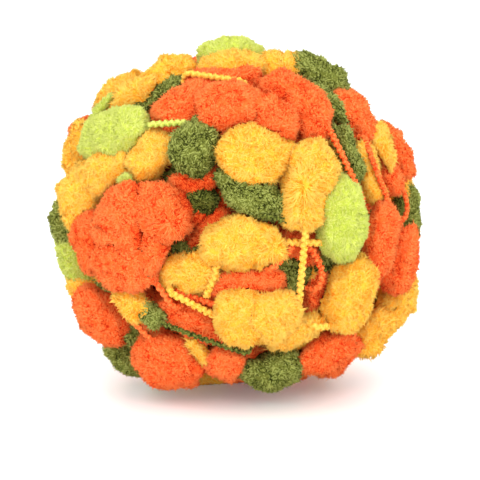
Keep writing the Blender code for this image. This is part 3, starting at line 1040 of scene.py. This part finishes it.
def joined(parts):
    """Several meshes as one: their corners, faces, paleness and the way they face."""
    offset = np.cumsum([0] + [len(part[0]) for part in parts[:-1]])
    faces = np.concatenate([part[1] + start for part, start in zip(parts, offset)])
    points, pale, outward = (np.concatenate([part[at] for part in parts]) for at in (0, 2, 3))
    return points, faces, pale, outward


def sector(pompom):
    """Which third of the ball a pompom is in, as seen from above."""
    turn = math.degrees(math.atan2(pompom.middle.x, -pompom.middle.y))
    if abs(turn) < 60:
        return "front"
    return "right" if turn > 0 else "left"


def all_pompoms():
    """The pompoms of the under layer, and those of the outer layer."""
    outer = []
    for table in (CROWN, LEFT_SIDE, HOLLOW, RIGHT_SIDE, FOOT):
        outer += placed_pompoms(table)
    outer += placed_pompoms(BEHIND_THE_RIM, behind=True)
    outer += wound_pompoms(outer)
    outer += placed_pompoms(SUNK_AT_THE_FOOT)
    return under_pompoms(), outer


def sight_tree(solids):
    """What the looks from outside run into: the points and the faces of each solid."""
    offset = np.cumsum([0] + [len(points) for points, _ in solids[:-1]])
    points = np.concatenate([points for points, _ in solids])
    faces = np.concatenate([faces + start for (_, faces), start in zip(solids, offset)])
    return BVHTree.FromPolygons(points.tolist(), faces.tolist())


def dress_pompoms(core, materials, chance):
    """The pompoms, as one piece for each dye in each third of the ball."""
    under, outer = all_pompoms()
    pompoms = under + outer
    neighbours = [near(pompom, pompoms) for pompom in pompoms]
    skins, packed = [], []
    for number, pompom in enumerate(pompoms):
        layer = under if number < len(under) else outer
        skins.append(pompom_skin(pompom, number, layer))
        packed.append(roots_under(skins[-1], neighbours[number]))
    tree = sight_tree([*packed, (core.points, core.faces)])
    parts = {}
    for number, (pompom, skin, (points, faces)) in enumerate(zip(pompoms, skins, packed)):
        spacing = UNDER_TUFT_SPACING if number < len(under) else TUFT_SPACING
        piles = pile_of(pompom, number, skin, neighbours[number], tree, spacing, chance)
        for dye, tufts in piles.items():
            parts.setdefault((dye, sector(pompom)), []).append(tufts)
        # The roots under the pile are darker, as painted shade
        roots = (points, seen_faces(points, faces, tree), np.full(len(points), ROOTS_PALE))
        parts[pompom.dye, sector(pompom)].append((*roots, skin.outward))
    parts["orange", "front"].append(core_pile(core, tree, chance))
    for (dye, side), meshes in parts.items():
        piece = mesh_piece(f"{dye}_pompoms_{side}", *joined(meshes), materials[dye])


def dress_cords(materials, chance):
    """The lengths of cord that cross between the pompoms, as one piece for each dye."""
    rows = [(row, [seat(*point) for point in points]) for row, *points in CORDS]
    rows += [(row, [around(*point) for point in points]) for row, *points in BACK_CORDS]
    for dye, material in materials.items():
        cords = []
        for row, points in rows:
            if row == dye:
                cords += cord_of(np.array(points), dye, chance)
        piece = mesh_piece(f"{dye}_cord", *joined(cords), material)


def dress_ball():
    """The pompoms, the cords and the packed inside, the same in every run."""
    noise.seed_set(TUFT_SEED)
    chance = np.random.default_rng(TUFT_SEED)
    materials = {dye: pile_material(dye) for dye in COLOURS}
    core = core_ball()
    dress_pompoms(core, materials, chance)
    dress_cords(materials, chance)
    inside = (core.points, core.faces, np.zeros(len(core.points)), core.outward)
    piece = mesh_piece("packed_inside", *inside, painted_shade_inside_material())


# Each lamp's name, place and power
LAMPS = [
    ("key_lamp", (-0.6, -1.25, 0.75), 5),
    ("fill_lamp", (0.7, -1.25, 0.4), 5),
    ("top_lamp", (-0.1, -0.3, 1.5), 3),
]
LAMPS_AIM = Vector((0, 0, 0.09))

# The camera's lens, and how far beside the ball's middle it is aimed
LENS = 169.8
AIM_ACROSS = 0.0015
AIM_UP = -0.0137


def studio():
    """A white floor, soft light from above and in front, and the camera of the photograph."""
    scene = bpy.context.scene
    scene.view_settings.view_transform = "Standard"
    world = bpy.data.worlds.new("studio")
    scene.world = world
    world.use_nodes = True
    world.node_tree.nodes["Background"].inputs["Color"].default_value = (1, 1, 1, 1)
    world.node_tree.nodes["Background"].inputs["Strength"].default_value = 1.6
    bm = bmesh.new()
    bmesh.ops.create_grid(bm, x_segments=1, y_segments=1, size=4)
    mesh = bpy.data.meshes.new("floor")
    bm.to_mesh(mesh)
    bm.free()
    floor = bpy.data.objects.new("floor", mesh)
    scene.collection.objects.link(floor)
    material = bpy.data.materials.new("white_floor")
    material.use_nodes = True
    shader = material.node_tree.nodes["Principled BSDF"]
    shader.inputs["Base Color"].default_value = (0.96, 0.96, 0.96, 1)
    shader.inputs["Roughness"].default_value = 0.35
    shader.inputs["Emission Color"].default_value = (0.8, 0.96, 1, 1)
    shader.inputs["Emission Strength"].default_value = 0.08
    mesh.materials.append(material)
    for name, place, energy in LAMPS:
        lamp = bpy.data.lights.new(name, "AREA")
        lamp.energy = energy
        lamp.size = 1.0
        lit = bpy.data.objects.new(name, lamp)
        lit.location = place
        lit.rotation_euler = (LAMPS_AIM - lit.location).to_track_quat("-Z", "Y").to_euler()
        scene.collection.objects.link(lit)
    middle = MIDDLE * MM
    lens = bpy.data.cameras.new("camera")
    lens.lens = LENS
    lens.clip_end = 20
    camera = bpy.data.objects.new("camera", lens)
    camera.location = middle + TO_VIEWER * SEEN_FROM_DISTANCE * MM
    aim = middle + ACROSS * AIM_ACROSS + UP * AIM_UP
    camera.rotation_euler = (aim - camera.location).to_track_quat("-Z", "Y").to_euler()
    scene.collection.objects.link(camera)
    scene.camera = camera


dress_ball()
studio()
